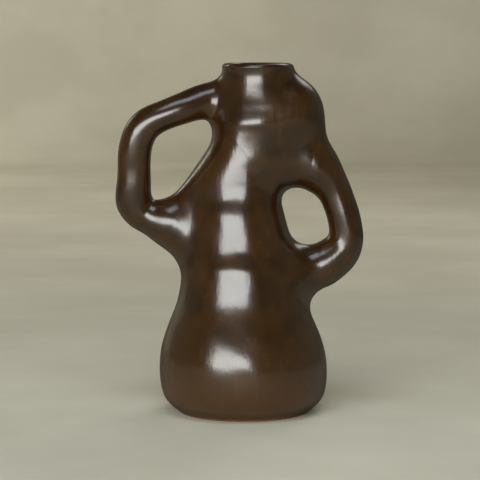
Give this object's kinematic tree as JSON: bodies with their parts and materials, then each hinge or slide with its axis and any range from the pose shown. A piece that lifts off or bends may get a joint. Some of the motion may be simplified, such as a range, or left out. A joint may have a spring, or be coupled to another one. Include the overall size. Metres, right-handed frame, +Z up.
{
  "type": "stoneware flower vase",
  "caption": "Gourd-shaped glazed stoneware vase with a narrow mouth and two unequal looped handles, for holding cut flowers upright.",
  "frame": {"origin": "centre of the flat base's underside", "axes": "+Z up through the mouth; the front faces -Y; the long looped handle reaches to -X and the short one to +X"},
  "size_m": [0.2521, 0.175, 0.36],
  "materials": {
    "base_disc": "dark brown satin glaze at the edge, bare underside",
    "belly_wall": "dark brown satin glaze",
    "waist_wall": "dark brown satin glaze",
    "torso_wall": "dark brown satin glaze",
    "neck_collar": "dark brown satin glaze",
    "lip": "dark brown satin glaze, a little worn at the edge",
    "left_handle": "dark brown satin glaze",
    "right_handle": "dark brown satin glaze",
    "left_upper_collar": "dark brown satin glaze",
    "left_lower_collar": "dark brown satin glaze",
    "right_upper_collar": "dark brown satin glaze",
    "right_lower_collar": "dark brown satin glaze"
  },
  "bodies": {
    "root": {"base_disc": "base_disc", "belly_wall": "belly_wall", "waist_wall": "waist_wall", "torso_wall": "torso_wall", "neck_collar": "neck_collar", "lip": "lip", "left_handle": "left_handle", "right_handle": "right_handle", "left_upper_collar": "left_upper_collar", "left_lower_collar": "left_lower_collar", "right_upper_collar": "right_upper_collar", "right_lower_collar": "right_lower_collar"}
  },
  "joints": []
}
